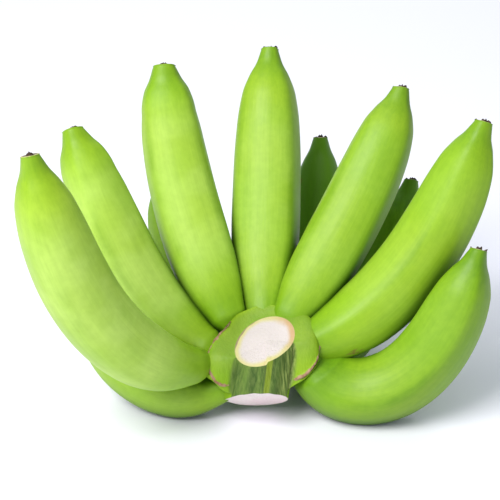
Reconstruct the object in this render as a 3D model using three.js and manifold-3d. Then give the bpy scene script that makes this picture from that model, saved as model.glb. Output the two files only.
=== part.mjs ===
// A hand of green plantains: eleven fruits in two rows, grown out of one cushioned crown
// that stays on a short cut length of the bunch stalk. Units are millimetres.
//
// Hand frame: the stalk's axis at the top of the crown is the origin, +Z runs up the stalk,
// +X to the right and +Y to the side that the fruits fan out to.
import * as THREE from 'three';
import { mergeVertices } from 'three/addons/utils/BufferGeometryUtils.js';
import Module from 'manifold-3d';

const wasm = await Module();
wasm.setup();

// ---------------------------------------------------------------- driving dimensions
// Where the hand frame's origin stands when the hand rests on its lower fruits, with the
// part's own origin under the middle of the whole hand.
const HAND_AT = [0.7, -47.6, 50];

// The fruits. fan: where round the stalk the fruit grows (0 is +Y, clockwise from above), out:
// how far its root is from the stalk's axis, rise: height of its root, head: the way it sets
// off, swing: how far that turns by the tip, pitch: its slope at the root, bend: how far the
// slope climbs by the tip, early: how much of the bend comes near the root, length: along its
// middle, girth: its greatest width, roll: which way its broadest face looks (0 is to its
// right, 90 up), stout: the share of its thin start that it lacks, blunt: how much wider its
// tip is than most, neck: the length of its start that is one with the crown.
const FRUITS = [
  {
    name: 'finger_upper_1', fan: -76, out: 28, rise: -12, head: -132.7, swing: 29.5,
    pitch: -0.4, bend: 78.7, early: 2.12, length: 218.2, girth: 42.6, roll: 167, stout: 0.03,
    blunt: 0, neck: 30,
  },
  {
    name: 'finger_upper_2', fan: -71.1, out: 24.4, rise: -9.9, head: -58.3, swing: 4.4,
    pitch: -9.1, bend: 75.3, early: 2.8, length: 176.4, girth: 40.2, roll: 108, stout: 0.07,
    blunt: 0.3, neck: 54,
  },
  {
    name: 'finger_upper_3', fan: -38.9, out: 26.5, rise: -4.9, head: -34.4, swing: 16.5,
    pitch: 35, bend: 42.7, early: 0.9, length: 176.5, girth: 42.8, roll: 107, stout: 0.074,
    blunt: 0.3, neck: 62,
  },
  {
    name: 'finger_upper_4', fan: -3.6, out: 18, rise: -7.8, head: 1.7, swing: 1.1,
    pitch: 31.4, bend: 34.4, early: 1.07, length: 191.3, girth: 44.2, roll: 97, stout: 0.03,
    blunt: 0, neck: 66,
  },
  {
    name: 'finger_upper_5', fan: 22.6, out: 17.3, rise: -5.3, head: 42.4, swing: 0,
    pitch: 35.3, bend: 40.7, early: 0.48, length: 176.1, girth: 42.4, roll: 58, stout: 0.05,
    blunt: 0, neck: 58,
  },
  {
    name: 'finger_upper_6', fan: 68.8, out: 19.8, rise: -5.5, head: 73.1, swing: -3.1,
    pitch: 4.3, bend: 66.6, early: 1.95, length: 186.8, girth: 43.8, roll: 93, stout: 0.11,
    blunt: 0, neck: 48,
  },
  {
    name: 'finger_lower_1', fan: -96.5, out: 15.3, rise: -24.3, head: -91, swing: 56,
    pitch: -33.3, bend: 93, early: 1.2, length: 126, girth: 33, roll: 175, stout: 0,
    blunt: 0, neck: 26,
  },
  {
    name: 'finger_lower_2', fan: -30, out: 18, rise: -27.2, head: -24, swing: 0,
    pitch: -23, bend: 95, early: 1.2, length: 178, girth: 38, roll: 150, stout: 0,
    blunt: 0, neck: 28,
  },
  {
    name: 'finger_lower_3', fan: 5.5, out: 17.9, rise: -20.3, head: 15, swing: -1.5,
    pitch: -31.6, bend: 119.6, early: 1.1, length: 204.5, girth: 38, roll: 92, stout: 0,
    blunt: 0, neck: 42,
  },
  {
    name: 'finger_lower_4', fan: 50, out: 18, rise: -26, head: 39, swing: -3,
    pitch: -22, bend: 94, early: 1.3, length: 175, girth: 37.5, roll: 68, stout: 0,
    blunt: 0, neck: 42,
  },
  {
    name: 'finger_lower_5', fan: 85.9, out: 28.1, rise: -7.8, head: 106, swing: -38.8,
    pitch: -82, bend: 154.4, early: 2.7, length: 164, girth: 41.4, roll: 53, stout: 0.2,
    blunt: 0, neck: 28,
  },
];

// How a fruit's width runs from root to tip: [share of its length, share of its girth].
const SWELL = [
  [0, 0.42], [0.06, 0.44], [0.14, 0.58], [0.24, 0.83], [0.34, 0.96], [0.47, 1],
  [0.62, 0.985], [0.76, 0.92], [0.86, 0.785], [0.92, 0.58], [0.96, 0.38], [1, 0.25],
];
const RIDGES = 5; // lengthwise ridges on each fruit
const RIDGE = 0.034; // their height, as a share of the radius
const RIDGE_EDGE = 0.25; // how sharp they are
const BROAD = 0.35; // how much the broadest face is drawn out

const BLUNT_FROM = 0.82; // share of the length where a blunt tip starts to widen

// The dried flower on each tip: [height above the tip, share of the tip's radius, jaggedness].
const FLOWER = [[0.6, 0.96, 0], [0.8, 0.8, 0], [0.5, 0.55, 0], [1.4, 0.36, 0.3], [2.1, 0.2, 0.2]];
const TIP_LEAN = 0.35; // how far the faces of the tips lean to the back, as a slope

const STALK_RADIUS = 18;
const STALK_LEAN = 0.3; // how far the stalk leans to the back, per millimetre up
const STALK_DRIFT = 0.13; // and to the right, below the origin
const STALK_RIBS = 12;
const RIB = 0.35;
// The cuts slant: their height is level + slope * back + tilt * right, on the stalk's circle.
const TOP_CUT = { level: 2.3, slope: 0.3, tilt: 0.26 };
const BOTTOM_CUT = { level: -32.3, slope: -0.72, tilt: 0 };

// The crown's cushion, which wraps the stalk's back and sides and hides the fruits' roots. Its
// hem is its lower edge, its belly and its rim are the lower and the upper end of its face, and
// from the rim it falls to the top cut. Each line runs round the stalk as points of
// [degrees from the back, millimetres].
const CUSHION = {
  hem: [
    [-112, -26], [-104, -25], [-78, -29], [0, -36], [45, -33], [78, -23], [104, -17], [112, -18],
  ],
  belly: [
    [-112, -23], [-104, -14], [-90, -10], [-45, -12], [0, -14], [45, -12], [90, -7], [104, -11],
    [112, -15],
  ],
  bellyOut: [[-112, 13], [-95, 14.5], [-45, 14], [45, 14], [78, 13], [104, 11.5]],
  rim: [
    [-112, -20], [-108, -15.5], [-104, -11], [-98, -6.6], [-90, -2.6], [-78, 2.2], [-61, 7],
    [-40, 9.8], [-25, 10.4], [0, 12.4], [35, 11.7], [50, 9.5], [66, 7.8], [82, 3.6], [92, 0.6],
    [100, -2.6], [104, -5], [108, -8.6], [112, -12],
  ],
  rimOut: [
    [-112, 16], [-104, 17], [-95, 15.8], [-78, 11], [-61, 6.8], [0, 6.6], [35, 7], [50, 11],
    [66, 13.5], [95, 14.5], [104, 16.5], [112, 17],
  ],
  crest: 1.5, // how far it bulges up between the rim and the top cut
  shoulder: 0.75, // under 1 it bulges fuller above the rim
  stub: 1.5, // the least length of bare stalk below the hem
  lobe: 94, // between these two angles from the back it ends in rounded lobes,
  lobeEnd: 112, // and the stalk's front is bare
};
// The shares of the way up the crown's side at which those lines come, and the shares of the
// stalk's height that they take on the bare front.
const BAND = { hem: 0.25, belly: 0.45, rim: 0.65 };
const BARE = { hem: 0.1, belly: 0.2, rim: 0.33 };
const RIB_FADE = 0.86; // above this share the ribs run out towards the top cut

const NECK_RINGS = [0.4, 0.7, 1]; // shares of a neck's length
// Inside the stalk the necks that grow on it thin out and draw towards one height.
const HEART = { depth: 6, height: -20, pull: 0.4, thin: 1 / 3, within: 20 };
const GAP = 0.3; // clearance between a neck and its fruit

const SIDES = 4 * RIDGES; // facets round a fruit
const STEPS = 20; // and along it

// ---------------------------------------------------------------- helpers
const rad = THREE.MathUtils.degToRad;
const smoothstep = THREE.MathUtils.smoothstep;
const mix = THREE.MathUtils.lerp;

// A smooth curve through points that never overshoots them (monotone cubic).
function throughPoints(points, x) {
  const last = points.length - 1;
  const rise = (i) => (points[i + 1][1] - points[i][1]) / (points[i + 1][0] - points[i][0]);
  const slopeAt = (i) => {
    if (i === 0) return rise(0);
    if (i === last) return rise(last - 1);
    const [before, after] = [rise(i - 1), rise(i)];
    return before * after > 0 ? (2 * before * after) / (before + after) : 0;
  };
  let i = 0;
  while (i < last - 1 && x > points[i + 1][0]) i += 1;
  const [x0, y0] = points[i];
  const [x1, y1] = points[i + 1];
  const t = THREE.MathUtils.clamp((x - x0) / (x1 - x0), 0, 1);
  const width = x1 - x0;
  return (2 * t ** 3 - 3 * t ** 2 + 1) * y0 + (t ** 3 - 2 * t ** 2 + t) * width * slopeAt(i)
    + (-2 * t ** 3 + 3 * t ** 2) * y1 + (t ** 3 - t ** 2) * width * slopeAt(i + 1);
}

// A closed body from a stack of rings that run clockwise as seen from the last ring.
function stack(rings) {
  const round = rings[0].length;
  const points = rings.flat();
  const faces = [];
  for (let i = 0; i < rings.length - 1; i += 1) {
    for (let j = 0; j < round; j += 1) {
      const a = i * round + j;
      const b = i * round + ((j + 1) % round);
      faces.push(b, a, a + round, b, a + round, b + round);
    }
  }
  for (const [ring, flip] of [[0, false], [rings.length - 1, true]]) {
    const total = rings[ring].reduce((sum, p) => sum.add(p), new THREE.Vector3());
    points.push(total.divideScalar(round));
    for (let j = 0; j < round; j += 1) {
      const a = ring * round + j;
      const b = ring * round + ((j + 1) % round);
      faces.push(...(flip ? [b, a, points.length - 1] : [a, b, points.length - 1]));
    }
  }
  const geometry = new THREE.BufferGeometry().setFromPoints(points);
  geometry.setIndex(faces);
  return geometry;
}

const WELD = 1e-5; // points nearer than this are one point

function toSolid(geometry) {
  const bare = geometry.clone();
  for (const name of ['normal', 'uv']) bare.deleteAttribute(name);
  const merged = mergeVertices(bare, WELD);
  return new wasm.Manifold(new wasm.Mesh({
    numProp: 3,
    vertProperties: new Float32Array(merged.attributes.position.array),
    triVerts: new Uint32Array(merged.index.array),
  }));
}

function toGeometry(solid) {
  const mesh = solid.getMesh();
  const geometry = new THREE.BufferGeometry();
  geometry.setAttribute('position', new THREE.BufferAttribute(new Float32Array(mesh.vertProperties), 3));
  geometry.setIndex(new THREE.BufferAttribute(new Uint32Array(mesh.triVerts), 1));
  geometry.computeVertexNormals();
  return geometry;
}

// ---------------------------------------------------------------- one fruit
// In its own frame the root is the origin and the fruit sets off along +Y.
const CENTRE_STEPS = 240;

function centreline(fruit) {
  const stations = [];
  const at = new THREE.Vector3();
  for (let i = 0; i <= CENTRE_STEPS; i += 1) {
    const t = i / CENTRE_STEPS;
    const pitch = rad(fruit.pitch + fruit.bend * (1 - (1 - t) ** fruit.early));
    const head = rad(fruit.swing * t);
    const [flat, rising] = [Math.cos(pitch), Math.sin(pitch)];
    const along = new THREE.Vector3(flat * Math.sin(head), flat * Math.cos(head), rising);
    if (i > 0) {
      const step = stations[i - 1].along.clone().add(along).normalize();
      at.addScaledVector(step, fruit.length / CENTRE_STEPS);
    }
    const side = new THREE.Vector3(Math.cos(head), -Math.sin(head), 0);
    stations.push({ at: at.clone(), along, side, up: side.clone().cross(along) });
  }
  return stations;
}

function station(stations, t) {
  const place = THREE.MathUtils.clamp(t, 0, 1) * CENTRE_STEPS;
  const i = Math.min(Math.floor(place), CENTRE_STEPS - 1);
  const [a, b, share] = [stations[i], stations[i + 1], place - i];
  return {
    at: a.at.clone().lerp(b.at, share),
    along: a.along.clone().lerp(b.along, share).normalize(),
    side: a.side.clone().lerp(b.side, share).normalize(),
    up: a.up.clone().lerp(b.up, share).normalize(),
  };
}

// A ring of points round a place on the centreline. A lean is the way and slope that it rises.
function ring(place, radius, roll, ridge, lift = 0, jag = 0, lean = new THREE.Vector3()) {
  const points = [];
  for (let j = 0; j < SIDES; j += 1) {
    const round = (2 * Math.PI * j) / SIDES;
    const wave = RIDGES * round;
    const ridged = 1 + ridge * (RIDGE_EDGE * Math.cos(2 * wave) - Math.cos(wave));
    const turned = round + BROAD * Math.sin(round) + roll;
    const offset = place.side.clone().multiplyScalar(radius * ridged * Math.cos(turned))
      .addScaledVector(place.up, radius * ridged * Math.sin(turned));
    const rise = lift - jag * Math.cos(wave) + lean.dot(offset);
    points.push(place.at.clone().add(offset).addScaledVector(place.along, rise));
  }
  return points;
}

function radiusAt({ girth, stout, blunt }, t) {
  const widened = 1 + blunt * smoothstep(t, BLUNT_FROM, 1);
  return (girth / 2) * widened * throughPoints(SWELL, (t + stout) / (1 + stout));
}

// The fruit from the end of its neck to the dried flower on its tip.
function fruitBody(fruit) {
  const stations = centreline(fruit);
  const from = (fruit.neck + GAP / 2) / fruit.length;
  const roll = rad(fruit.roll);
  const rings = [];
  for (let i = 0; i <= STEPS; i += 1) {
    const t = mix(from, 1, (1 - Math.cos((Math.PI * i) / STEPS)) / 2);
    rings.push(ring(station(stations, t), radiusAt(fruit, t), roll, RIDGE));
  }
  const tip = station(stations, 1);
  const end = radiusAt(fruit, 1);
  const head = rad(fruit.head);
  const lean = new THREE.Vector3(Math.sin(head), -Math.cos(head), 0).multiplyScalar(TIP_LEAN);
  rings[STEPS] = ring(tip, end, roll, RIDGE, 0, 0, lean);
  for (const [lift, share, jag] of FLOWER) {
    rings.push(ring(tip, share * end, roll, 0, lift, jag, lean));
  }
  return stack(rings);
}

// The neck, from inside the stalk to the face that the fruit grows on from.
function neckBody(fruit) {
  const stations = centreline(fruit);
  const roll = rad(fruit.roll);
  const root = station(stations, 0);
  const at = root.at.clone().addScaledVector(root.along, -HEART.depth);
  if (fruit.out <= HEART.within) at.setZ(HEART.pull * (HEART.height - fruit.rise));
  const rings = [ring({ ...root, at }, radiusAt(fruit, 0) * HEART.thin, roll, RIDGE)];
  for (const share of NECK_RINGS) {
    const t = (share * (fruit.neck - GAP / 2)) / fruit.length;
    rings.push(ring(station(stations, t), radiusAt(fruit, t), roll, RIDGE));
  }
  return stack(rings);
}

function placeOf(fruit) {
  const fan = rad(fruit.fan);
  return {
    position: new THREE.Vector3(fruit.out * Math.sin(fan), fruit.out * Math.cos(fan), fruit.rise),
    turn: -rad(fruit.head),
  };
}

// ---------------------------------------------------------------- the crown on its stalk
const cutHeight = (cut, round) => cut.level
  + STALK_RADIUS * (cut.slope * Math.cos(round) + cut.tilt * Math.sin(round));

// A point of the side, for an angle from the back and a share of the way up: up the stalk, out
// over the cushion and in again to the top cut. Each lobe rounds off as a quarter of an ellipse.
function crownPoint(round, up) {
  const angle = THREE.MathUtils.radToDeg(round);
  const { lobe, lobeEnd } = CUSHION;
  const ended = THREE.MathUtils.clamp((Math.abs(angle) - lobe) / (lobeEnd - lobe), 0, 1);
  const full = Math.sqrt(1 - ended ** 2);
  const top = cutHeight(TOP_CUT, round);
  const bottom = cutHeight(BOTTOM_CUT, round);
  const lowest = Math.max(throughPoints(CUSHION.hem, angle), bottom + CUSHION.stub);
  const hem = mix(mix(bottom, top, BARE.hem), lowest, full);
  const belly = mix(mix(bottom, top, BARE.belly), throughPoints(CUSHION.belly, angle), full);
  const rim = mix(mix(bottom, top, BARE.rim), throughPoints(CUSHION.rim, angle), full);
  const bellyOut = throughPoints(CUSHION.bellyOut, angle);
  const rimOut = throughPoints(CUSHION.rimOut, angle);

  let z;
  let out = 0;
  if (up < BAND.hem) {
    z = mix(bottom, hem, up / BAND.hem);
  } else if (up < BAND.belly) {
    const share = (up - BAND.hem) / (BAND.belly - BAND.hem);
    z = mix(hem, belly, share);
    out = bellyOut * Math.sin((share * Math.PI) / 2);
  } else if (up < BAND.rim) {
    const share = (up - BAND.belly) / (BAND.rim - BAND.belly);
    z = mix(belly, rim, share);
    out = mix(bellyOut, rimOut, Math.sin((share * Math.PI) / 2) ** 2);
  } else {
    const over = ((up - BAND.rim) / (1 - BAND.rim)) * (Math.PI / 2);
    z = mix(rim, top, Math.sin(over)) + CUSHION.crest * full * Math.sin(2 * over);
    out = rimOut * Math.max(Math.cos(over), 0) ** CUSHION.shoulder;
  }
  const ribbed = (1 - full) * (1 - smoothstep(up, RIB_FADE, 1));
  const radius = STALK_RADIUS + RIB * Math.cos(STALK_RIBS * round) * ribbed + out * full;
  return new THREE.Vector3(
    radius * Math.sin(round) + STALK_DRIFT * Math.min(z, 0),
    radius * Math.cos(round) + STALK_LEAN * z,
    z,
  );
}

const CUSHION_STEPS = 13; // steps from the back to each lobe,
const LOBE_STEPS = 5; // round the lobe
const FRONT_STEPS = 11; // and from there to the middle of the front

// The angles round the stalk. They are even, apart from the lobes, where they follow a sine.
function crownAngles() {
  const { lobe, lobeEnd } = CUSHION;
  const half = [];
  for (let i = 1; i <= CUSHION_STEPS; i += 1) half.push((lobe * i) / CUSHION_STEPS);
  for (let i = 1; i <= LOBE_STEPS; i += 1) {
    half.push(mix(lobe, lobeEnd, Math.sin((Math.PI / 2) * (i / LOBE_STEPS))));
  }
  for (let i = 1; i < FRONT_STEPS; i += 1) half.push(mix(lobeEnd, 180, i / FRONT_STEPS));
  return [-180, ...half.map((angle) => -angle).reverse(), 0, ...half].map(rad);
}

function crownBody() {
  const angles = crownAngles();
  const levels = [
    0, 0.12, 0.25, 0.27, 0.3, 0.34, 0.39, 0.45, 0.5, 0.55, 0.6,
    0.65, 0.7, 0.76, 0.82, 0.88, 0.93, 0.97, 1,
  ];
  return stack(levels.map((up) => angles.map((round) => crownPoint(round, up))));
}

// ---------------------------------------------------------------- the hand
const greenSkin = new THREE.MeshStandardMaterial({ color: '#8fc93a', roughness: 0.42, metalness: 0 });
const crownSkin = new THREE.MeshStandardMaterial({ color: '#6f9a35', roughness: 0.55, metalness: 0 });

// What lies below the surface that the hand rests on is cut away, which leaves each of the
// lowest fruits a small flat to stand on.
const SLAB = 400;

function trimmed(fruit) {
  const floor = -(HAND_AT[2] + fruit.rise);
  const slab = new THREE.BoxGeometry(SLAB, SLAB, SLAB).translate(0, 0, floor - SLAB / 2);
  const body = toSolid(fruitBody(fruit));
  return toGeometry(body.subtract(toSolid(slab)));
}

const hand = new THREE.Group();
hand.position.set(...HAND_AT);

let crown = toSolid(crownBody());
for (const fruit of FRUITS) {
  const { position, turn } = placeOf(fruit);
  const mesh = new THREE.Mesh(trimmed(fruit), greenSkin);
  mesh.name = fruit.name;
  mesh.position.copy(position);
  mesh.rotation.z = turn;
  hand.add(mesh);

  mesh.updateMatrix();
  crown = crown.add(toSolid(neckBody(fruit).applyMatrix4(mesh.matrix)));
}
const crownMesh = new THREE.Mesh(toGeometry(crown), crownSkin);
crownMesh.name = 'crown_stalk';
hand.add(crownMesh);

export default hand;
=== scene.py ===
# %% [markdown]
# # A hand of green plantains
# A hand is one cluster of a bunch: two rows of fruits that grow out of a cushioned crown. Here the
# crown still sits on a short cut length of the bunch's stalk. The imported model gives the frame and
# the size. This script grows the fine surfaces over it: skins, dried flowers, crown and stalk.

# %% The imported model
import math

import bpy
import numpy as np
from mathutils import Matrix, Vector


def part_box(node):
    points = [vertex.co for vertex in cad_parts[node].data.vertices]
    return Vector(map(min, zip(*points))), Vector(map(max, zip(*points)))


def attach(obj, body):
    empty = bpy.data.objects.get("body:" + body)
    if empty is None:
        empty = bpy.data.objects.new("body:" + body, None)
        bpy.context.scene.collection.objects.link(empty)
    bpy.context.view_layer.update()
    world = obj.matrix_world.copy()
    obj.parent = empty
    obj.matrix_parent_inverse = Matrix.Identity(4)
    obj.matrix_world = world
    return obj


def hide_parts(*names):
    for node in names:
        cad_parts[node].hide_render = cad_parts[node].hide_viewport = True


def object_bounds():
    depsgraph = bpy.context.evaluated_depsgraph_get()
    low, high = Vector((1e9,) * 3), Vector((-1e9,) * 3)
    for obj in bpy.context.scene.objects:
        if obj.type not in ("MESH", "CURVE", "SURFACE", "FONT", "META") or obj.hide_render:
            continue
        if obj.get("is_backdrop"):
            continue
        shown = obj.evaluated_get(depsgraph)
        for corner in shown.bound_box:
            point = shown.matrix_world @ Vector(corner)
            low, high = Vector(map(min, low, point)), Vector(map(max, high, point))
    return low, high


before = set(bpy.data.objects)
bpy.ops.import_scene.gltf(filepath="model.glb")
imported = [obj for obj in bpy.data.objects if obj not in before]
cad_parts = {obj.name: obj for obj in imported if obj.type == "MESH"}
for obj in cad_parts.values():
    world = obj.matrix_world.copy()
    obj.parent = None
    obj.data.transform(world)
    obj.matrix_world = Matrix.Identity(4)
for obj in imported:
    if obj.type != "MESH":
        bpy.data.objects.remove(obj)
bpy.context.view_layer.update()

MM = 0.001  # shapes are worked out in millimetres, and meshes are in metres

# %% [markdown]
# ## The camera
# A long lens from a metre away keeps the near fruits from looking swollen. The camera looks down
# on the hand at an angle. The lens follows from how much of the scene the picture should be wide.

# %% Camera
HAND_AT = np.array([0.7, -47.6, 50])  # the stalk's axis at the top of the crown
LOOK_AT = HAND_AT + (-9, 24, 52)
ELEVATION = math.radians(27)
DISTANCE = 1100
VIEW_WIDTH = 300  # what the picture is wide, at the point looked at
SENSOR = 36

camera_data = bpy.data.cameras.new("camera")
camera_data.sensor_width = SENSOR
camera_data.lens = SENSOR * DISTANCE / VIEW_WIDTH
camera = bpy.data.objects.new("camera", camera_data)
back = np.array([0, -math.cos(ELEVATION), math.sin(ELEVATION)])
camera.location = (LOOK_AT + DISTANCE * back) * MM
camera.rotation_euler = (math.pi / 2 - ELEVATION, 0, 0)
bpy.context.scene.collection.objects.link(camera)
bpy.context.scene.camera = camera
print("lens", round(camera_data.lens, 1))

# %% [markdown]
# ## Light and floor
# Waxy skin shows its form by broad, soft reflections, so the light comes from large sources: a
# bright surrounding, a soft box in front at the left, and the pale floor, which throws light up
# under the fruits. A wide box behind brightens the floor and edges the fruits with light. Small
# lamps would give hard dots of light, which this skin doesn't have.

# %% Light and floor
def soft_box(name, place, size, power, colour):
    """A square lamp at place (mm) that faces the point looked at."""
    data = bpy.data.lights.new(name, "AREA")
    data.shape = "SQUARE"
    data.size = size * MM
    data.energy = power
    data.color = colour
    lamp = bpy.data.objects.new(name, data)
    lamp.location = Vector(place) * MM
    lamp.rotation_mode = "QUATERNION"
    lamp.rotation_quaternion = (Vector(LOOK_AT * MM) - lamp.location).to_track_quat("-Z", "Y")
    bpy.context.scene.collection.objects.link(lamp)


WARM, COOL = (1.0, 0.98, 0.955), (0.95, 0.97, 1.0)
soft_box("key", (-640, -760, 1150), 800, 28, WARM)
soft_box("back", (0, 1500, 1400), 1400, 14, COOL)

world = bpy.data.worlds.new("surrounding")
world.use_nodes = True
sky = world.node_tree.nodes["Background"].inputs
sky["Color"].default_value = (0.88, 0.93, 1.0, 1)
sky["Strength"].default_value = 0.45
bpy.context.scene.world = world
bpy.context.scene.view_settings.view_transform = "Standard"

FLOOR = 6000
floor_mesh = bpy.data.meshes.new("floor")
corner = FLOOR * MM / 2
floor_mesh.from_pydata(
    [(-corner, -corner, 0), (corner, -corner, 0), (corner, corner, 0), (-corner, corner, 0)],
    [], [(0, 1, 2, 3)],
)
floor = bpy.data.objects.new("floor", floor_mesh)
bpy.context.scene.collection.objects.link(floor)
floor_paint = bpy.data.materials.new("floor_paint")
floor_paint.use_nodes = True
paint = floor_paint.node_tree.nodes["Principled BSDF"].inputs
paint["Base Color"].default_value = (0.87, 0.875, 0.96, 1)
paint["Roughness"].default_value = 0.7
floor_mesh.materials.append(floor_paint)
floor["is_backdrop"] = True
print("floor", FLOOR, "mm wide")

# %% [markdown]
# ## Smooth curves through a few numbers
# A fruit's width can be said in a dozen numbers. A cubic curve that never overshoots its points
# keeps the skin between them free of bumps, which a plain spline would add.

# %% A curve through points
def smooth_through(points, x):
    """Cubic pieces between the points. At each point the slope is the harmonic mean of the slopes
    to its two neighbours, or level where the curve turns round, so it never overshoots."""
    at, value = np.array(points, float).T
    rise = np.diff(value) / np.diff(at)
    both = rise[:-1] * rise[1:]
    total = np.where(both > 0, rise[:-1] + rise[1:], 1)
    slope = np.concatenate([rise[:1], np.where(both > 0, 2 * both / total, 0), rise[-1:]])
    i = np.clip(np.searchsorted(at, x, side="right") - 1, 0, len(at) - 2)
    width = at[i + 1] - at[i]
    t = np.clip((x - at[i]) / width, 0, 1)
    return (
        (2 * t**3 - 3 * t**2 + 1) * value[i] + (t**3 - 2 * t**2 + t) * width * slope[i]
        + (-2 * t**3 + 3 * t**2) * value[i + 1] + (t**3 - t**2) * width * slope[i + 1]
    )


def smoothstep(x, low, high):
    """0 below low, 1 above high, and 3t^2 - 2t^3 between them."""
    t = np.clip((x - low) / (high - low), 0, 1)
    return t * t * (3 - 2 * t)


def mix(a, b, share):
    """a at share 0 and b at share 1."""
    return a + (b - a) * share


SWELL = [
    (0, 0.42), (0.06, 0.44), (0.14, 0.58), (0.24, 0.83), (0.34, 0.96), (0.47, 1),
    (0.62, 0.985), (0.76, 0.92), (0.86, 0.785), (0.92, 0.58), (0.96, 0.38), (1, 0.25),
]
print("half way along, a fruit has", round(float(smooth_through(SWELL, 0.5)), 3), "of its girth")

# %% [markdown]
# ## The fruits
# Each fruit hangs off the crown and bends back up towards the light as it grows. So a fruit is a
# path whose slope climbs from root to tip, and a width along it. The numbers for each fruit are
# where its root is (fan, out, rise), how it sets off (head, pitch), how far it turns (swing, bend),
# how early it bends, its length and girth, how its ridges are turned (roll), and how stout its
# root and how blunt its tip are. Two necks that start near the crown's skin thin out over a
# longer stretch, which is given as well (rooted).

# %% The fruits' numbers
FRUITS = {
    "upper_1": dict(
        fan=-76, out=28, rise=-12, head=-132.7, swing=29.5, pitch=-0.4, bend=78.7, early=2.12,
        length=218.2, girth=42.6, roll=167, stout=0.03, blunt=0, rooted=24,
    ),
    "upper_2": dict(
        fan=-71.1, out=24.4, rise=-9.9, head=-58.3, swing=4.4, pitch=-9.1, bend=75.3, early=2.8,
        length=176.4, girth=40.2, roll=108, stout=0.07, blunt=0.3,
    ),
    "upper_3": dict(
        fan=-38.9, out=26.5, rise=-4.9, head=-34.4, swing=16.5, pitch=35, bend=42.7, early=0.9,
        length=176.5, girth=42.8, roll=107, stout=0.074, blunt=0.3,
    ),
    "upper_4": dict(
        fan=-3.6, out=18, rise=-7.8, head=1.7, swing=1.1, pitch=31.4, bend=34.4, early=1.07,
        length=191.3, girth=44.2, roll=97, stout=0.03, blunt=0,
    ),
    "upper_5": dict(
        fan=22.6, out=17.3, rise=-5.3, head=42.4, swing=0, pitch=35.3, bend=40.7, early=0.48,
        length=176.1, girth=42.4, roll=58, stout=0.05, blunt=0, rooted=16,
    ),
    "upper_6": dict(
        fan=68.8, out=19.8, rise=-5.5, head=73.1, swing=-3.1, pitch=4.3, bend=66.6, early=1.95,
        length=186.8, girth=43.8, roll=93, stout=0.11, blunt=0,
    ),
    "lower_1": dict(
        fan=-96.5, out=15.3, rise=-24.3, head=-91, swing=56, pitch=-33.3, bend=93, early=1.2,
        length=126, girth=33, roll=175, stout=0, blunt=0,
    ),
    "lower_2": dict(
        fan=-30, out=18, rise=-27.2, head=-24, swing=0, pitch=-23, bend=95, early=1.2,
        length=178, girth=38, roll=150, stout=0, blunt=0,
    ),
    "lower_3": dict(
        fan=5.5, out=17.9, rise=-20.3, head=15, swing=-1.5, pitch=-31.6, bend=119.6,
        early=1.1, length=204.5, girth=38, roll=92, stout=0, blunt=0,
    ),
    "lower_4": dict(
        fan=50, out=18, rise=-26, head=39, swing=-3, pitch=-22, bend=94, early=1.3,
        length=175, girth=37.5, roll=68, stout=0, blunt=0,
    ),
    "lower_5": dict(
        fan=85.9, out=28.1, rise=-7.8, head=106, swing=-38.8, pitch=-82, bend=154.4, early=2.7,
        length=164, girth=41.4, roll=53, stout=0.2, blunt=0,
    ),
}
STALK_RADIUS = 18
print(len(FRUITS), "fruits")

# %% [markdown]
# ## The line down the middle of a fruit
# Adding up many short steps, each in the direction that the fruit has there, gives its middle
# line at exactly its length. A Bezier curve could be drawn by hand instead, but its length would
# then have to be measured and corrected.

# %% Middle line
FINE_STEPS = 240


def middle_line(fruit, share):
    """Where the fruit's middle is at each share of its length, and the directions along it, to
    its side and up from it. Slope = pitch + bend (1 - (1 - t)^early), heading = head + swing t,
    and the place is the running sum of the directions times the step."""
    t = np.linspace(0, 1, FINE_STEPS + 1)
    pitch = np.radians(fruit["pitch"] + fruit["bend"] * (1 - (1 - t) ** fruit["early"]))
    head = np.radians(fruit["head"] + fruit["swing"] * t)
    along = np.stack([np.cos(pitch) * np.sin(head), np.cos(pitch) * np.cos(head), np.sin(pitch)], 1)
    step = along[1:] + along[:-1]
    step *= fruit["length"] / FINE_STEPS / np.linalg.norm(step, axis=1, keepdims=True)
    fan = math.radians(fruit["fan"])
    root = HAND_AT + (fruit["out"] * math.sin(fan), fruit["out"] * math.cos(fan), fruit["rise"])
    at = root + np.concatenate([np.zeros((1, 3)), np.cumsum(step, 0)])
    side = np.stack([np.cos(head), -np.sin(head), np.zeros_like(head)], 1)
    up = np.cross(side, along)
    return [
        np.stack([np.interp(share, t, way[:, axis]) for axis in range(3)], 1)
        for way in (at, along, side, up)
    ]


tips = {name: middle_line(fruit, np.array([1.0]))[0][0] for name, fruit in FRUITS.items()}
print("highest tip", max(round(tip[2], 1) for tip in tips.values()), "mm")

# %% [markdown]
# ## From a grid of points to a mesh
# All the pieces here are one kind of shape: rings of points, one after another, closed at both
# ends. So one function joins a grid of rings into quads and closes the two poles. Values that a
# material needs later, such as how far along the fruit a point is, go in as named attributes.

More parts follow.
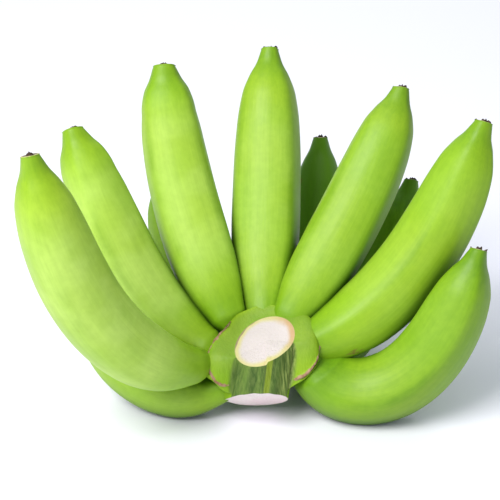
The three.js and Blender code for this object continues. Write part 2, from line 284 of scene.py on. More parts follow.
# %% Grid to mesh
def ring_mesh(name, rings, layers):
    """Joins rings (rows, around, 3), in mm, into a closed mesh: four points of two neighbouring
    rings make a face, and a point at the mean of each end ring closes that end. layers holds
    values of the same rows and around, kept as attributes of the points."""
    rows, around, _ = rings.shape
    ends = rings[[0, -1]].mean(axis=1)
    points = np.concatenate([rings.reshape(-1, 3), ends]) * MM
    a = np.arange((rows - 1) * around).reshape(rows - 1, around)
    b = np.roll(a, -1, axis=1)
    quads = np.stack([b, a, a + around, b + around], axis=-1).reshape(-1, 4)
    first, last = np.arange(around), np.arange(around) + (rows - 1) * around
    start = np.stack([first, np.roll(first, -1), np.full(around, rows * around)], 1)
    end = np.stack([np.roll(last, -1), last, np.full(around, rows * around + 1)], 1)
    mesh = bpy.data.meshes.new(name)
    mesh.from_pydata(points, [], quads.tolist() + start.tolist() + end.tolist())
    for key, values in layers.items():
        is_vector = values.ndim == 3
        flat = values.reshape(rows * around, -1)
        flat = np.concatenate([flat, values[[0, -1]].reshape(2, around, -1).mean(axis=1)])
        layer = mesh.attributes.new(key, "FLOAT_VECTOR" if is_vector else "FLOAT", "POINT")
        layer.data.foreach_set("vector" if is_vector else "value", flat.astype(np.float32).ravel())
    mesh.shade_smooth()
    piece = bpy.data.objects.new(name, mesh)
    bpy.context.scene.collection.objects.link(piece)
    return piece


print("the CAD's nodes:", len(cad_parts))

# %% [markdown]
# ## The skin of a fruit
# The section of a plantain isn't round: five soft ridges run from neck to tip, with nearly flat
# faces between them, one broader than the rest. Waves of the radius round the section make them,
# stronger on some sides than others, and fine waves keep their edges crisp. A little slow
# unevenness along the fruit keeps it from looking turned on a lathe. The fruits grew towards one
# light, so the faces of their tips all lean the same way, to the back. Where a fruit touches the
# ground the skin gives way and lies flat.

# %% Fruit skin
AROUND, STATIONS = 80, 150
RIDGES = 5
RIDGE = 0.034  # the ridges' height, as a share of the radius
EDGE, CRISP = 0.25, 0.11  # the shares of the finer waves that sharpen them
BROAD = 0.35  # how much the broadest face is drawn out
UNEVEN = 0.009  # how uneven the skin is, as a share of the radius
ROOTED = 12  # within this length most necks thin out inside the crown,
ROOT_THIN = 0.5  # to this share of their width
CALM = 0.45  # the share of the ridges that is left at the tip
BLUNT_FROM = 0.82  # the share of the length where a blunt tip starts to widen
# Rings past the tip: (height, radius as a share of the tip's radius).
LIP = [(0.3, 1.02), (0.65, 0.98), (0.85, 0.88), (0.75, 0.72), (0.55, 0.5), (0.5, 0.25)]
TIP_LEAN = 0.35  # how far the faces of the tips lean to the back, as a slope


def fruit_grid(fruit, seed):
    """Rings across the middle line. Radius = half the girth x swell(t) x (1 + ridges + unevenness).
    Ridges are 0.25 cos 10a - cos 5a - 0.11 cos 15a, and the point stands at a + 0.35 sin a + roll.
    Unevenness is three slow waves whose phases are drawn from the seed. Past the tip, the lip's
    rings close in on a shallow dish."""
    draw = np.random.default_rng(seed)
    t = (1 - np.cos(np.linspace(0, math.pi, STATIONS))) / 2
    t = mix(t, np.linspace(0, 1, STATIONS), 0.5)
    stout = fruit["stout"]
    radius = fruit["girth"] / 2 * smooth_through(SWELL, (t + stout) / (1 + stout))
    radius *= 1 + fruit["blunt"] * smoothstep(t, BLUNT_FROM, 1)
    radius *= mix(ROOT_THIN, 1, smoothstep(t * fruit["length"], 0, fruit.get("rooted", ROOTED)))
    at, along, side, up = middle_line(fruit, t)

    lift, narrow = np.array(LIP).T
    at = np.concatenate([at, at[-1] + lift[:, None] * along[-1]])
    side, up = [np.concatenate([way, np.repeat(way[-1:], len(LIP), 0)]) for way in (side, up)]
    radius = np.concatenate([radius, narrow * radius[-1]])
    t = np.concatenate([t, 1 + 0.01 * np.arange(1, len(LIP) + 1)])

    angle = np.linspace(0, 2 * math.pi, AROUND, endpoint=False)[None, :]
    body = (1 - smoothstep(t, 0.93, 1.0))[:, None]
    phase = draw.uniform(0, 2 * math.pi, 4)
    strength = RIDGE * (1 + 0.25 * np.cos(angle + phase[0])) * mix(CALM, 1, body)
    wave = RIDGES * angle
    ridged = strength * (EDGE * np.cos(2 * wave) - np.cos(wave) - CRISP * np.cos(3 * wave))
    slow = 2 * math.pi * t[:, None]
    uneven = np.cos(angle + phase[1] + 0.9 * slow) + 0.7 * np.cos(2 * angle + phase[2] - 1.3 * slow)
    uneven = UNEVEN * body * (uneven + 0.4 * np.cos(3 * angle + phase[3] + 2.1 * slow))
    reach = radius[:, None] * (1 + ridged + uneven)

    turned = angle + BROAD * np.sin(angle) + math.radians(fruit["roll"])
    offset = (reach * np.cos(turned))[..., None] * side[:, None]
    offset = offset + (reach * np.sin(turned))[..., None] * up[:, None]
    leant = -TIP_LEAN * offset[..., 1] * smoothstep(t, 0.97, 1)[:, None]
    rings = at[:, None] + offset + leant[..., None] * along[-1]
    rings[..., 2] = np.maximum(rings[..., 2], 0)

    length = np.broadcast_to(t[:, None] * fruit["length"], reach.shape)
    straight = np.stack([reach * np.cos(turned), reach * np.sin(turned), length], -1) * MM
    return rings, np.broadcast_to(t[:, None], reach.shape), straight, np.degrees(turned)


rings, *_ = fruit_grid(FRUITS["upper_4"], 4)
print("fruit grid", rings.shape[:2], "thickest", round(float(np.ptp(rings[60:100, :, 0])), 1), "mm")

# %% [markdown]
# ## Scuffs
# Green fruits rub on each other and on the crate, and each rub leaves a brown mark. The places
# are listed, as a share of the length and an angle round the fruit, and each fades out like a bell
# curve. The material later breaks this soft mask up into fine scratches.

# %% Scuff places
# Each mark is (share of length, degrees round, half length, half width in degrees, strength).
SCUFFS = {
    "upper_1": [(0.55, 222, 0.035, 7, 0.8), (0.7, 20, 0.03, 20, 0.6)],
    "upper_2": [(0.5, 250, 0.04, 16, 0.6)],
    "upper_3": [(0.25, 196, 0.045, 11, 0.85), (0.8, 300, 0.02, 12, 0.5)],
    "upper_4": [(0.265, 16, 0.04, 9, 0.8), (0.66, 250, 0.02, 30, 0.5)],
    "upper_5": [(0.945, 46, 0.015, 9, 0.6), (0.5, 250, 0.06, 20, 0.6)],
    "upper_6": [(0.165, 338, 0.06, 12, 0.9), (0.6, 230, 0.03, 14, 0.5)],
    "lower_1": [(0.5, 60, 0.05, 30, 0.6)],
    "lower_2": [(0.4, 300, 0.06, 25, 0.6)],
    "lower_3": [(0.855, 128, 0.05, 8, 1.0)],
    "lower_4": [(0.6, 300, 0.05, 25, 0.6)],
    "lower_5": [(0.737, 57, 0.02, 9, 0.5), (0.75, 250, 0.04, 16, 0.6)],
}


def scuff_mask(marks, share, degrees):
    """The largest, at each point, of strength x exp(-(dt / length)^2 - (da / width)^2)."""
    mask = np.zeros_like(share)
    for place, turn, long, wide, strength in marks:
        off = (degrees - turn + 180) % 360 - 180
        bell = strength * np.exp(-(((share - place) / long) ** 2) - (off / wide) ** 2)
        mask = np.maximum(mask, bell)
    return mask


print(sum(len(marks) for marks in SCUFFS.values()), "scuffs")

# %% [markdown]
# ## Painted shade in the crevices, and ridge lines
# Where two fruits press together, and near the ground, little light gets in, and the skin's colour
# is darkened there to a deeper green with no bloom: a painted shade. How near the next skin is says
# how deep, on the side that faces it. This could be painted on as a fixed pattern, but a measured
# gap follows the fruits when they are moved. Along each ridge the skin is a little deeper in
# places too, so a second mask marks the ridges.

# %% Painted crevice shade
# The painted shade that darkens the skin in the crevices and near the ground:
SHADE_REACH = 7  # how far from the next skin the hollow reaches, in mm
LOW_LIGHT = 16  # and how far above the ground
UNDERSIDE, BESIDE = 0.3, 0.15  # how far round from straight below, and from the neighbour
SHADE_SPAN = np.linspace(0.03, 0.95, 40)  # the stretch of a neighbour that counts


def painted_crevice_shade_mask(name, rings):
    """The painted shade: exp(-gap / reach) x how squarely the skin faces the nearest point of the next
    fruit, which is taken as spheres along its middle line; the ground counts as one more neighbour."""
    out = rings - rings.mean(axis=1, keepdims=True)
    out /= np.maximum(np.linalg.norm(out, axis=-1, keepdims=True), 1e-9)
    mask = np.exp(-rings[..., 2] / LOW_LIGHT) * np.clip(UNDERSIDE - out[..., 2], 0, 1)
    for other, fruit in FRUITS.items():
        if other != name:
            centre, stout = middle_line(fruit, SHADE_SPAN)[0], fruit["stout"]
            size = fruit["girth"] / 2 * smooth_through(SWELL, (SHADE_SPAN + stout) / (1 + stout))
            apart = np.linalg.norm(rings[..., None, :] - centre, axis=-1)
            gap = apart - size
            best = gap.argmin(axis=-1)
            toward = (centre[best] - rings) / np.take_along_axis(apart, best[..., None], -1)
            facing = np.clip((toward * out).sum(axis=-1) + BESIDE, 0, 1)
            mask = np.maximum(mask, np.exp(-np.maximum(gap.min(axis=-1), 0) / SHADE_REACH) * facing)
    return mask


RIDGE_LINE = 7  # half the width of the deeper line along each ridge, in degrees


def ridge_mask(share):
    """exp(-(angle from the nearest ridge / width)^2). The ridges stand half way between
    multiples of a fifth of a turn."""
    off = np.linspace(0, 360, AROUND, endpoint=False) % (360 / RIDGES) - 180 / RIDGES
    return np.broadcast_to(np.exp(-((off / RIDGE_LINE) ** 2)), share.shape)


print("hollows reach", SHADE_REACH, "mm")

# %% [markdown]
# ## The dried flowers
# A plantain's flower withers on the tip of its fruit and drops off. It leaves a small dark stub in
# the middle, and on the rim a dark nub or two where its petals were. One profile, carried round
# the tip, gives both, and what is raised at a few angles alone makes the nubs.

# %% Dried flower
FLOWER_AROUND = 48
FLOWER_GIRTH = 40  # the profile is drawn for a fruit this thick
# Rings of the withered flower: (radius, height above the tip, raggedness, darkness).
FLOWER_PROFILE = [
    (2.2, 0.2, 0, 0.3), (3.6, 0.45, 0, 0.4), (4.5, 0.5, 0.6, 0.6), (4.9, 0.45, 1.0, 0.95),
    (4.4, 0.5, 1.1, 1.0), (3.9, 0.45, 0.6, 0.8), (3.0, 0.3, 0, 0.5), (2.2, 0.35, 0, 0.7),
    (1.9, 0.7, 0.1, 0.95), (1.6, 1.4, 0.2, 1.0), (1.4, 1.9, 0.5, 1.0), (0.9, 2.1, 0.6, 1.0),
    (0.35, 1.9, 0.2, 1.0),
]
NUBS = [(0.0, 0.3, 1.5), (2.3, 0.2, 0.9)]  # (angle round the rim, width, height)


def flower_grid(fruit, seed):
    """Rings round the fruit's end. Height = profile + raggedness x torn(angle), where torn is two
    bell curves of the angle, a tall and a low one, at places drawn from the seed."""
    draw = np.random.default_rng(seed)
    radius, height, ragged, dark = (np.array(FLOWER_PROFILE).T)[..., None]
    angle = np.linspace(0, 2 * math.pi, FLOWER_AROUND, endpoint=False)[None, :]
    torn = np.zeros_like(angle)
    for place, wide, tall in NUBS:
        off = (angle - place - draw.uniform(-0.7, 0.7) + math.pi) % (2 * math.pi) - math.pi
        torn += tall * np.exp(-((off / wide) ** 2))
    fine = np.cos(7 * angle + draw.uniform(0, 6)) + np.cos(13 * angle + draw.uniform(0, 6))
    lift = height + ragged * torn
    reach = fruit["girth"] / FLOWER_GIRTH * (1 + fruit["blunt"]) * radius * (1 + 0.05 * fine * (ragged > 0))
    at, along, side, up = middle_line(fruit, np.array([1.0]))
    offset = (reach * np.cos(angle))[..., None] * side + (reach * np.sin(angle))[..., None] * up
    lift = lift - TIP_LEAN * offset[..., 1]
    return at + offset + lift[..., None] * along, np.broadcast_to(dark, reach.shape)


rings, dark = flower_grid(FRUITS["upper_4"], 4)
print("flower", rings.shape[:2], "stands", round(float(np.ptp(rings[..., 2])), 1), "mm high")

# %% [markdown]
# ## The crown and the stalk
# The crown is a cushion that wraps the back and sides of the stalk, with the fruits' necks coming
# out from under its rim. At both sides of the stalk's front it ends in a rounded lobe. The stalk
# is a ribbed stem, cut across at both ends.
#
# All of it is one closed surface: rings across the lower cut, up the stalk's side and over the
# cushion, and in again across the upper cut. It could be joined from a cylinder and a sculpted
# cushion, but one surface has no joint to hide, and each of its lines is a few numbers here. A
# line runs round the stalk, and its numbers are given at angles from the back, right positive.

# %% Crown and stalk outline
STALK = dict(lean=0.3, drift=0.13, ribs=12, rib=0.35)
TOP_CUT = dict(level=2.3, slope=0.3, tilt=0.26)
BOTTOM_CUT = dict(level=-32.3, slope=-0.72, tilt=0)
LOBE, LOBE_END = 94, 112  # between these angles the lobes round off, and the front is bare
RIM_OUT = [
    (-112, 16), (-104, 17), (-95, 15.8), (-78, 11), (-61, 6.8), (0, 6.6), (35, 7), (50, 11),
    (66, 13.5), (95, 14.5), (104, 16.5), (112, 17),
]
RIM_HEIGHT = [
    (-112, -20), (-108, -15.5), (-104, -11), (-98, -6.6), (-90, -2.6), (-78, 2.2), (-61, 7),
    (-40, 9.8), (-25, 10.4), (0, 12.4), (35, 11.7), (50, 9.5), (66, 7.8), (82, 3.6), (92, 0.6),
    (100, -2.6), (104, -5), (108, -8.6), (112, -12),
]
BELLY_OUT = [(-112, 13), (-95, 14.5), (-45, 14), (45, 14), (78, 13), (104, 11.5)]
BELLY_HEIGHT = [
    (-112, -23), (-104, -14), (-90, -10), (-45, -12), (0, -14), (45, -12), (90, -7), (104, -11),
    (112, -15),
]
HEM_HEIGHT = [
    (-112, -26), (-104, -25), (-78, -29), (0, -36), (45, -33), (78, -23), (104, -17), (112, -18),
]
CREST, SHOULDER, STUB = 2.2, 0.75, 1.5
HEM, BELLY, RIM = 0.25, 0.45, 0.65  # shares of the way up at which the cushion's lines come
BARE_HEM, BARE_BELLY, BARE_RIM = 0.1, 0.2, 0.33  # and shares of the height, on the bare front


def cut_height(cut, turn):
    """The height of a cut's edge: level + slope x how far back + tilt x how far right."""
    back, right = STALK_RADIUS * np.cos(turn), STALK_RADIUS * np.sin(turn)
    return cut["level"] + cut["slope"] * back + cut["tilt"] * right


def crown_point(turn, up):
    """A point of the crown's side, for an angle from the back and a share of the way up. Radius =
    stalk + ribs + cushion. From hem to belly the cushion rises as a quarter sine, from belly to
    rim it runs over as a squared sine, and from rim to cut it falls as a rounded cosine. At the
    lobes all of it is scaled by a quarter of an ellipse. Also gives how bare the stalk is."""
    angle = np.degrees(turn)
    ended = np.clip((np.abs(angle) - LOBE) / (LOBE_END - LOBE), 0, 1)
    full = np.sqrt(1 - ended**2)
    top, bottom = cut_height(TOP_CUT, turn), cut_height(BOTTOM_CUT, turn)
    hem = np.maximum(smooth_through(HEM_HEIGHT, angle), bottom + STUB)
    hem = mix(mix(bottom, top, BARE_HEM), hem, full)
    belly = mix(mix(bottom, top, BARE_BELLY), smooth_through(BELLY_HEIGHT, angle), full)
    rim = mix(mix(bottom, top, BARE_RIM), smooth_through(RIM_HEIGHT, angle), full)
    belly_out, rim_out = smooth_through(BELLY_OUT, angle), smooth_through(RIM_OUT, angle)

    low = np.clip((up - HEM) / (BELLY - HEM), 0, 1)
    high = np.clip((up - BELLY) / (RIM - BELLY), 0, 1)
    over = np.clip((up - RIM) / (1 - RIM), 0, 1) * math.pi / 2
    z = np.where(up < HEM, mix(bottom, hem, up / HEM), mix(mix(hem, belly, low), rim, high))
    z = z + (top - z) * np.sin(over) + CREST * full * np.sin(2 * over)
    out = mix(belly_out * np.sin(low * math.pi / 2), rim_out, np.sin(high * math.pi / 2) ** 2)
    out = out * full * np.maximum(np.cos(over), 0) ** SHOULDER
    rib = STALK["rib"] * np.cos(STALK["ribs"] * turn) * (1 - full) * (1 - smoothstep(up, 0.86, 1))
    radius = STALK_RADIUS + rib + out
    place = np.stack([
        radius * np.sin(turn) + STALK["drift"] * np.minimum(z, 0),
        radius * np.cos(turn) + STALK["lean"] * z,
        z,
    ], -1)
    return HAND_AT + place, 1 - full


widest, _ = crown_point(np.radians([-90.0, 90.0]), np.array([RIM, RIM]))
print("cushion", round(float(np.ptp(widest[:, 0])), 1), "mm wide")

# %% [markdown]
# ## Fillets where the necks come out
# Living tissue has no sharp inside corners: the crown rises to meet each neck. So below the rim
# each point of the cushion is moved outwards by a height that falls off with its distance from
# the necks. A Boolean join with a bevel would give a like form, but one that is even all round,
# as if machined.

# %% Fillets round the necks
FILLET, FILLET_WIDTH = 2.6, 2.6  # height and width, in mm
FILLET_MOST = 1.3  # two necks side by side raise the crown by this many heights at most
NECK_REACH = 34  # how far along the fruits the fillets look, in mm


def outward(points):
    """Unit normals of a grid of rings: the cross product of the steps along and across it."""
    across = np.roll(points, -1, axis=1) - np.roll(points, 1, axis=1)
    normal = np.cross(np.gradient(points, axis=0), across)
    return normal / np.maximum(np.linalg.norm(normal, axis=-1, keepdims=True), 1e-9)


def neck_fillet(points):
    """Height x the sum over the fruits of exp(-gap / width), where gap is how far the point is
    from the neck's skin, taken as spheres along its middle line."""
    total = np.zeros(points.shape[:-1])
    for fruit in FRUITS.values():
        share = np.linspace(0, NECK_REACH / fruit["length"], 24)
        centre = middle_line(fruit, share)[0]
        stout = fruit["stout"]
        size = fruit["girth"] / 2 * smooth_through(SWELL, (share + stout) / (1 + stout))
        gap = np.linalg.norm(points[..., None, :] - centre, axis=-1) - size
        total += np.exp(-np.maximum(gap.min(axis=-1), 0) / FILLET_WIDTH)
    return FILLET * np.minimum(total, FILLET_MOST)


print("fillet", FILLET, "mm high")

# %% [markdown]
# ## The scar
# A leaf once covered the flowers, and where it dropped off it left a corky scar along the
# cushion's edge. It follows the rim, which turns down along the front edge of each lobe. A
# point's distance from the rim says how corky it is, so the scar is even in width, whichever way
# the surface's own lines run.

# %% Scar along the cushion's edge
SCAR_ANGLES = [(-58, -111.5), (84, 111.5)]  # where it starts and ends, on each side
SCAR_WIDTH = 1.0


def scar_mask(points):
    """exp(-(distance from the rim / width)^2). The line thins out at its start, far back on the
    cushion."""
    mask = np.zeros(points.shape[:-1])
    for start, end in SCAR_ANGLES:
        angle = np.linspace(start, end, 120)
        path, _ = crown_point(np.radians(angle), np.full_like(angle, RIM))
        wide = SCAR_WIDTH * smoothstep(np.abs(angle - start), -8, 20)
        away = np.linalg.norm(points[..., None, :] - path, axis=-1) / wide
        mask = np.maximum(mask, np.exp(-away.min(axis=-1) ** 2))
    return mask


print("scar", 2 * SCAR_WIDTH, "mm wide")

# %% [markdown]
# ## The whole surface
# A knife leaves a nearly flat face with a little waviness, and it tears the fibres at the front
# edge, where it comes out. The rings' points are set closer together at the lobes, where the
# surface turns sharply.

# %% Crown and stalk surface
SCAR_HEIGHT = 0.7
TEAR_HEIGHT, TEAR_AT, TEAR_WIDTH = 1.8, 177, 4
TEAR_SIDE = (100, 150)  # the angles between which the torn edge rises
CUT_SHARES = [0.985, 0.94, 0.88, 0.8, 0.7, 0.58, 0.45, 0.3, 0.15]
LOWER_WAVE, UPPER_WAVE = 0.15, 0.25  # how wavy the knife left the two cuts


def crown_angles():
    """Angles round the stalk: even on the cushion and on the bare front, and spaced as a sine at
    the lobes, so that their points are even along the ellipse."""
    lobe = mix(LOBE, LOBE_END, np.sin(np.linspace(0, math.pi / 2, 12)))
    half = np.concatenate([np.linspace(0, LOBE, 66)[1:-1], lobe, np.linspace(LOBE_END, 180, 44)[1:-1]])
    return np.radians(np.concatenate([-half[::-1], [0], half, [180]]))[None, :]


def cut_face(rim, wave):
    """Rings from a rim to its middle: place = middle + share x (rim - middle), with slow waves for
    the knife's path."""
    shares = np.array(CUT_SHARES)[:, None, None]
    middle = rim.mean(axis=0)
    face = middle + shares * (rim - middle)
    ripple = np.cos(0.35 * face[..., 0]) + np.cos(0.27 * face[..., 1] + 0.2 * face[..., 0])
    face[..., 2] += wave * ripple * (1 - shares[..., 0] ** 6)
    return face


def crown_grid():
    """Lower cut, side and upper cut as one stack of rings, and the layers of values that the
    material reads."""
    turn = crown_angles()
    up = np.unique(np.concatenate([
        np.linspace(0, 1, 76), np.linspace(RIM - 0.06, RIM + 0.05, 24), np.linspace(0.94, 1, 14),
        np.linspace(0.2, 0.3, 14),
    ]))[:, None]
    side, bare = crown_point(turn, up)
    scar = scar_mask(side)
    crumble = 1 + 0.35 * np.cos(23 * turn + 40 * up) + 0.25 * np.cos(41 * turn - 25 * up)
    lift = SCAR_HEIGHT * scar * crumble
    lift = lift + neck_fillet(side) * (1 - bare) ** 2 * (1 - smoothstep(up, BELLY, RIM - 0.04))
    side = side + lift[..., None] * outward(side)

    degrees = np.degrees(turn)
    torn = smoothstep(degrees, *TEAR_SIDE) * (1 - smoothstep(degrees, TEAR_AT - TEAR_WIDTH, TEAR_AT))
    side[..., 2] += TEAR_HEIGHT * torn * smoothstep(up, 0.9, 1)

    lower, upper = cut_face(side[0], LOWER_WAVE)[::-1], cut_face(side[-1], UPPER_WAVE)
    rings = np.concatenate([lower, side, upper])

    caps, rows = len(CUT_SHARES), len(up)
    shares = np.array(CUT_SHARES)
    layers = {
        "cut": np.concatenate([np.ones(caps), np.zeros(rows), np.ones(caps)]),
        "upper": np.concatenate([np.zeros(caps + rows // 2), np.ones(rows - rows // 2 + caps)]),
        "edge": np.concatenate([shares[::-1], np.ones(rows), shares]),
        "way_up": np.concatenate([np.zeros(caps), up[:, 0], np.ones(caps)]),
    }
    layers = {key: np.repeat(value[:, None], turn.size, 1) for key, value in layers.items()}
    pad = np.zeros((caps, turn.size))
    layers["scar"] = np.concatenate([pad, scar, pad])
    layers["bare"] = np.repeat(bare, len(rings), 0)
    layers["turn"] = np.repeat(degrees / 180, len(rings), 0)
    return rings, layers


rings, layers = crown_grid()
print("crown grid", rings.shape[:2], "lowest", round(float(rings[..., 2].min()), 1), "mm")

# %% [markdown]
# ## Building materials from parts
# A material is a graph of small steps. These helpers put one node in a graph, set or link its
# inputs by name and give back its output, so that a graph can be read as a few lines of algebra.

# %% Node helpers
def put(tree, kind, inputs=None, **settings):
    """Adds a node. Each input is either a value or the output of another node."""
    node = tree.nodes.new(kind)
    for key, value in settings.items():
        setattr(node, key, value)
    for key, value in (inputs or {}).items():
        if isinstance(value, bpy.types.NodeSocket):
            tree.links.new(value, node.inputs[key])
        else:
            node.inputs[key].default_value = value
    return node


def reckon(tree, operation, a, b=0.0, clamp=False):
    """One step of arithmetic."""
    return put(tree, "ShaderNodeMath", {0: a, 1: b}, operation=operation, use_clamp=clamp).outputs[0]


def spread(tree, value, low, high, to_low=0.0, to_high=1.0):
    """Maps low..high smoothly onto to_low..to_high and stays there outside it."""
    inputs = {"Value": value, "From Min": low, "From Max": high, "To Min": to_low, "To Max": to_high}
    return put(tree, "ShaderNodeMapRange", inputs, interpolation_type="SMOOTHSTEP").outputs["Result"]


def tint(tree, share, a, b, how="MIX"):
    """Colour a at share 0 and b at share 1."""
    return put(tree, "ShaderNodeMix", {0: share, 6: a, 7: b}, data_type="RGBA", blend_type=how).outputs[2]


def tint_value(tree, share, a, b):
    """Number a at share 0 and b at share 1."""
    return put(tree, "ShaderNodeMix", {0: share, 2: a, 3: b}, data_type="FLOAT").outputs[0]


def layer(tree, name, output="Fac"):
    """A value that the mesh carries at its points."""
    return put(tree, "ShaderNodeAttribute", attribute_name=name).outputs[output]


def effect(name, inputs, outputs):
    """An empty node group with the named sockets: {name: (kind, default)} in, {name: kind} out."""
    group = bpy.data.node_groups.new(name, "ShaderNodeTree")
    for key, (kind, default) in inputs.items():
        socket = group.interface.new_socket(key, in_out="INPUT", socket_type="NodeSocket" + kind)
        if default is not None:
            socket.default_value = default
    for key, kind in outputs.items():
        group.interface.new_socket(key, in_out="OUTPUT", socket_type="NodeSocket" + kind)
    return group, group.nodes.new("NodeGroupInput").outputs, group.nodes.new("NodeGroupOutput").inputs


def use(tree, group, inputs):
    """The outputs of an effect placed in a material with its own values."""
    node = tree.nodes.new("ShaderNodeGroup")
    node.node_tree = group
    for key, value in inputs.items():
        if isinstance(value, bpy.types.NodeSocket):
            tree.links.new(value, node.inputs[key])
        else:
            node.inputs[key].default_value = value
    return node.outputs


def new_material(name):
    """An empty material. Returns it with its graph and the inputs of its shader."""
    material = bpy.data.materials.new(name)
    material.use_nodes = True
    return material, material.node_tree, material.node_tree.nodes["Principled BSDF"].inputs


print("helpers ready")

# %% [markdown]
# ## Effects that several materials share
# Plant skin has the same kinds of marking in many places: soft patches of another green, streaks
# and fibres that run lengthwise, fine relief, and brown rubbed marks. Each is built once as a node
# group. All of them read coordinates that follow the growth, so a streak runs along the fruit
# even where the fruit bends.

# %% Patches
patches, given, made = effect(
    "patches", {"Where": ("Vector", None), "Size": ("Float", 0.03), "Seed": ("Float", 0.0)},
    {"Mask": "Float"},
)
noise = put(patches, "ShaderNodeTexNoise", {
    "Vector": given["Where"], "W": given["Seed"], "Detail": 2.0, "Roughness": 0.45,
    "Scale": reckon(patches, "DIVIDE", 1.0, given["Size"]),
}, noise_dimensions="4D").outputs["Fac"]
patches.links.new(spread(patches, noise, 0.32, 0.68), made["Mask"])
print("effect: patches")

# %% Lengthwise streaks
streaks, given, made = effect(
    "streaks",
    {
        "Where": ("Vector", None), "Width": ("Float", 0.001), "Stretch": ("Float", 0.05),
        "Sharpness": ("Float", 0.5), "Seed": ("Float", 0.0),
    },
    {"Mask": "Float"},
)
squeeze = put(streaks, "ShaderNodeCombineXYZ", {0: 1.0, 1: 1.0, 2: given["Stretch"]}).outputs[0]
where = put(
    streaks, "ShaderNodeVectorMath", {0: given["Where"], 1: squeeze}, operation="MULTIPLY",
).outputs[0]
noise = put(streaks, "ShaderNodeTexNoise", {
    "Vector": where, "W": given["Seed"], "Detail": 3.0, "Roughness": 0.55,
    "Scale": reckon(streaks, "DIVIDE", 1.0, given["Width"]),
}, noise_dimensions="4D").outputs["Fac"]
half = reckon(streaks, "MULTIPLY", reckon(streaks, "SUBTRACT", 1.0, given["Sharpness"]), 0.3)
low, high = reckon(streaks, "SUBTRACT", 0.5, half), reckon(streaks, "ADD", 0.501, half)
streaks.links.new(spread(streaks, noise, low, high), made["Mask"])
print("effect: streaks")

# %% Rubbed marks
rubbed, given, made = effect(
    "rubbed", {"Where": ("Vector", None), "Soft Mask": ("Float", 0.0), "Seed": ("Float", 0.0)},
    {"Mask": "Float"},
)
coarse = put(rubbed, "ShaderNodeTexNoise", {
    "Vector": given["Where"], "W": given["Seed"], "Scale": 260.0, "Detail": 5.0, "Roughness": 0.7,
}, noise_dimensions="4D").outputs["Fac"]
scratch = use(rubbed, streaks, {
    "Where": given["Where"], "Width": 0.0007, "Stretch": 0.12, "Sharpness": 0.3, "Seed": given["Seed"],
})["Mask"]
grit = reckon(rubbed, "ADD", reckon(rubbed, "MULTIPLY", coarse, 0.75),
              reckon(rubbed, "MULTIPLY", scratch, 0.25))
bare_skin = reckon(rubbed, "SUBTRACT", 1.0, reckon(rubbed, "MULTIPLY", given["Soft Mask"], 0.62))
rubbed.links.new(
    spread(rubbed, reckon(rubbed, "SUBTRACT", grit, bare_skin), -0.04, 0.12), made["Mask"],
)
print("effect: rubbed")

# %% Fine relief
relief, given, made = effect(
    "relief", {"Where": ("Vector", None), "Fibre": ("Float", 0.4), "Seed": ("Float", 0.0)},
    {"Height": "Float"},
)
pores = put(relief, "ShaderNodeTexNoise", {
    "Vector": given["Where"], "W": given["Seed"], "Scale": 900.0, "Detail": 3.0, "Roughness": 0.5,
}, noise_dimensions="4D").outputs["Fac"]
fibre = use(relief, streaks, {
    "Where": given["Where"], "Width": 0.0016, "Stretch": 0.04, "Sharpness": 0.0, "Seed": given["Seed"],
})["Mask"]
height = put(
    relief, "ShaderNodeMix", {0: given["Fibre"], 2: pores, 3: fibre}, data_type="FLOAT",
).outputs[0]
relief.links.new(height, made["Height"])
print("effect: relief")

# %% [markdown]
# ## The green skin
# Unripe plantain skin is a clear yellow-green under a thin bloom of wax, paler where the bloom is
# thick. That pale colour also carries a painted sheen, strongest along the middle of each fruit.
# The skin is deeper towards the neck and the tip, and darkened by painted shade in the crevices,
# near the ground and on the fruits that lie in shade. The colour is mixed from these in turn, the
# rubbed marks go on last, and the last millimetres at the tip dry to straw and brown.

# %% Fruit skin material
DEEP = (0.095, 0.235, 0.004, 1)
GREEN = (0.26, 0.47, 0.010, 1)
YELLOWER = (0.37, 0.53, 0.016, 1)
# Pale wax bloom, which also serves as a painted sheen of soft light.
BLOOM_AND_SHEEN = (0.50, 0.70, 0.14, 1)
# A painted shade, for the crevices between fruits and the skin near the ground.
PAINTED_SHADE_GREEN = (0.045, 0.12, 0.003, 1)
RUB = (0.22, 0.13, 0.035, 1)
STRAW = (0.60, 0.47, 0.30, 1)
DRIED = (0.05, 0.028, 0.014, 1)


